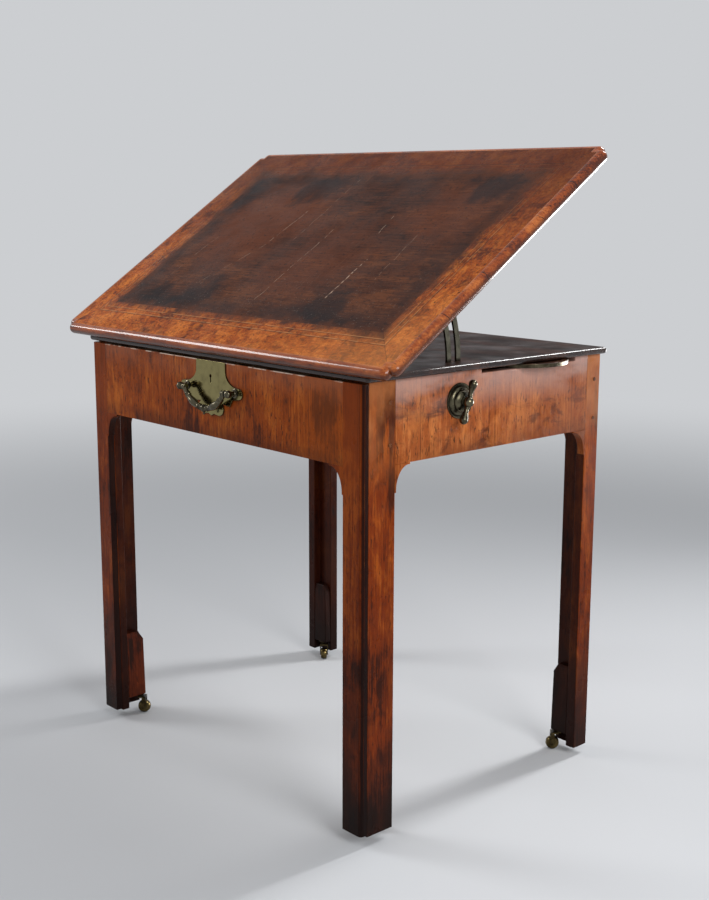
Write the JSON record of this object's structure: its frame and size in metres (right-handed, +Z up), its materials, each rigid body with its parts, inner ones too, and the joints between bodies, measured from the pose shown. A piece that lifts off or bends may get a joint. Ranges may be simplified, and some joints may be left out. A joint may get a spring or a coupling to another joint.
{
  "type": "architect's table",
  "caption": "Writing table with a tilting leaf on a slotted brass stay, a drawer that carries the sliding front legs, a swing-out candle stand and casters.",
  "frame": {"origin": "on the floor, under the middle of the resting table's bounding box", "axes": "+X to the sitter's right, +Y to the back, +Z up"},
  "size_m": [0.936, 0.616, 1.1345],
  "materials": {
    "leg_mahogany": "old wax polish, dark streaks",
    "block_mahogany": "dull, worn",
    "rail_mahogany": "old wax polish",
    "front_mahogany": "old wax polish, upright figure",
    "slide_mahogany": "old wax polish",
    "lower_leaf_mahogany": "dark, satin",
    "leaf_mahogany": "polished, worn bright at the edges",
    "outer_banding": "polished cross-banding",
    "inner_banding": "polished cross-banding",
    "panel_veneer": "worn, scratched and ink-stained",
    "tray_mahogany": "satin",
    "peg_wood": "end grain",
    "inside_oak": "dry, unpolished",
    "stay_brass": "satin, aged",
    "hinge_brass": "dull, aged",
    "rosette_brass": "aged",
    "rim_brass": "dark, aged",
    "handle_brass": "aged, rubbed bright",
    "lock_brass": "dull",
    "caster_brass": "dark, aged",
    "wheel_brass": "dark, rubbed on the tread"
  },
  "bodies": {
    "carcass": {"front_leg_left": "leg_mahogany", "front_leg_right": "leg_mahogany", "rear_leg_left": "leg_mahogany", "rear_leg_right": "leg_mahogany", "foot_blocks": "block_mahogany", "side_rail_left": "rail_mahogany", "side_rail_right": "rail_mahogany", "rear_rail": "rail_mahogany", "top_front_rail": "inside_oak", "lower_front_rail": "inside_oak", "rail_brackets": "rail_mahogany", "tenon_pegs": "peg_wood", "drawer_runners": "inside_oak", "drawer_kickers": "inside_oak", "lower_leaf": "lower_leaf_mahogany", "hinge_plates_lower": "hinge_brass", "hinge_pins": "hinge_brass", "clamp_wear_plate": "stay_brass", "clamp_bolt": "stay_brass", "clamp_rosette": "rosette_brass", "candle_pivot": "rim_brass", "caster_plates": "caster_brass"},
    "writing_leaf": {"upper_leaf": "leaf_mahogany", "crossbanding_outer": "outer_banding", "crossbanding_inner": "inner_banding", "leaf_panel": "panel_veneer", "quadrant_stay": "stay_brass", "hinge_plates_upper": "hinge_brass"},
    "clamp": {"clamp_handle": "rosette_brass"},
    "candle_stand": {"candle_tray": "tray_mahogany", "candle_tray_rim": "rim_brass"},
    "drawer": {"drawer_front": "front_mahogany", "sliding_leg_left": "slide_mahogany", "sliding_leg_right": "slide_mahogany", "sliding_brackets": "slide_mahogany", "drawer_side_left": "inside_oak", "drawer_side_right": "inside_oak", "drawer_back": "inside_oak", "drawer_bottom": "inside_oak", "lock_case": "lock_brass", "lock_plate": "handle_brass", "handle_posts": "handle_brass"},
    "bolt": {"lock_bolt": "lock_brass"},
    "bail": {"drop_handle": "handle_brass"},
    "fork_front_left": {"caster_fork_front_left": "caster_brass", "caster_axle_front_left": "caster_brass"},
    "wheel_front_left": {"caster_wheel_front_left": "wheel_brass"},
    "fork_front_right": {"caster_fork_front_right": "caster_brass", "caster_axle_front_right": "caster_brass"},
    "wheel_front_right": {"caster_wheel_front_right": "wheel_brass"},
    "fork_rear_left": {"caster_fork_rear_left": "caster_brass", "caster_axle_rear_left": "caster_brass"},
    "wheel_rear_left": {"caster_wheel_rear_left": "wheel_brass"},
    "fork_rear_right": {"caster_fork_rear_right": "caster_brass", "caster_axle_rear_right": "caster_brass"},
    "wheel_rear_right": {"caster_wheel_rear_right": "wheel_brass"}
  },
  "joints": [
    {"name": "leaf_tilt", "type": "hinge", "parent": "carcass", "child": "writing_leaf", "pos_m": [0, -0.281, 0.7835], "axis": [1, 0, 0], "range_deg": [-33.8, 4]},
    {"name": "clamp_turn", "type": "hinge", "parent": "carcass", "child": "clamp", "pos_m": [0.42, -0.06769, 0.722], "axis": [1, 0, 0], "range_deg": [0, 270]},
    {"name": "candle_swing", "type": "hinge", "parent": "carcass", "child": "candle_stand", "pos_m": [0.35, 0.016, 0.764], "axis": [0, 0, -1], "range_deg": [-16, 97]},
    {"name": "drawer_slide", "type": "slide", "parent": "carcass", "child": "drawer", "axis": [0, -1, 0], "range_m": [0, 0.4]},
    {"name": "lock_throw", "type": "slide", "parent": "drawer", "child": "bolt", "axis": [0, 0, 1], "range_m": [0, 0.008]},
    {"name": "bail_swing", "type": "hinge", "parent": "drawer", "child": "bail", "pos_m": [0, -0.301, 0.719], "axis": [-1, 0, 0], "range_deg": [-8, 100]},
    {"name": "swivel_front_left", "type": "hinge", "parent": "carcass", "child": "fork_front_left", "pos_m": [-0.35, -0.224, 0.026], "axis": [0, 0, 1], "range_deg": [-50, 50]},
    {"name": "roll_front_left", "type": "hinge", "parent": "fork_front_left", "child": "wheel_front_left", "pos_m": [-0.34434, -0.21834, 0.013], "axis": [-0.7071, 0.7071, 0], "continuous": true},
    {"name": "swivel_front_right", "type": "hinge", "parent": "carcass", "child": "fork_front_right", "pos_m": [0.35, -0.224, 0.026], "axis": [0, 0, 1], "range_deg": [-50, 50]},
    {"name": "roll_front_right", "type": "hinge", "parent": "fork_front_right", "child": "wheel_front_right", "pos_m": [0.34434, -0.21834, 0.013], "axis": [-0.7071, -0.7071, 0], "continuous": true},
    {"name": "swivel_rear_left", "type": "hinge", "parent": "carcass", "child": "fork_rear_left", "pos_m": [-0.343, 0.272, 0.026], "axis": [0, 0, 1], "range_deg": [-50, 50]},
    {"name": "roll_rear_left", "type": "hinge", "parent": "fork_rear_left", "child": "wheel_rear_left", "pos_m": [-0.33734, 0.26634, 0.013], "axis": [0.7071, 0.7071, 0], "continuous": true},
    {"name": "swivel_rear_right", "type": "hinge", "parent": "carcass", "child": "fork_rear_right", "pos_m": [0.343, 0.272, 0.026], "axis": [0, 0, 1], "range_deg": [-50, 50]},
    {"name": "roll_rear_right", "type": "hinge", "parent": "fork_rear_right", "child": "wheel_rear_right", "pos_m": [0.33734, 0.26634, 0.013], "axis": [0.7071, -0.7071, 0], "continuous": true}
  ]
}
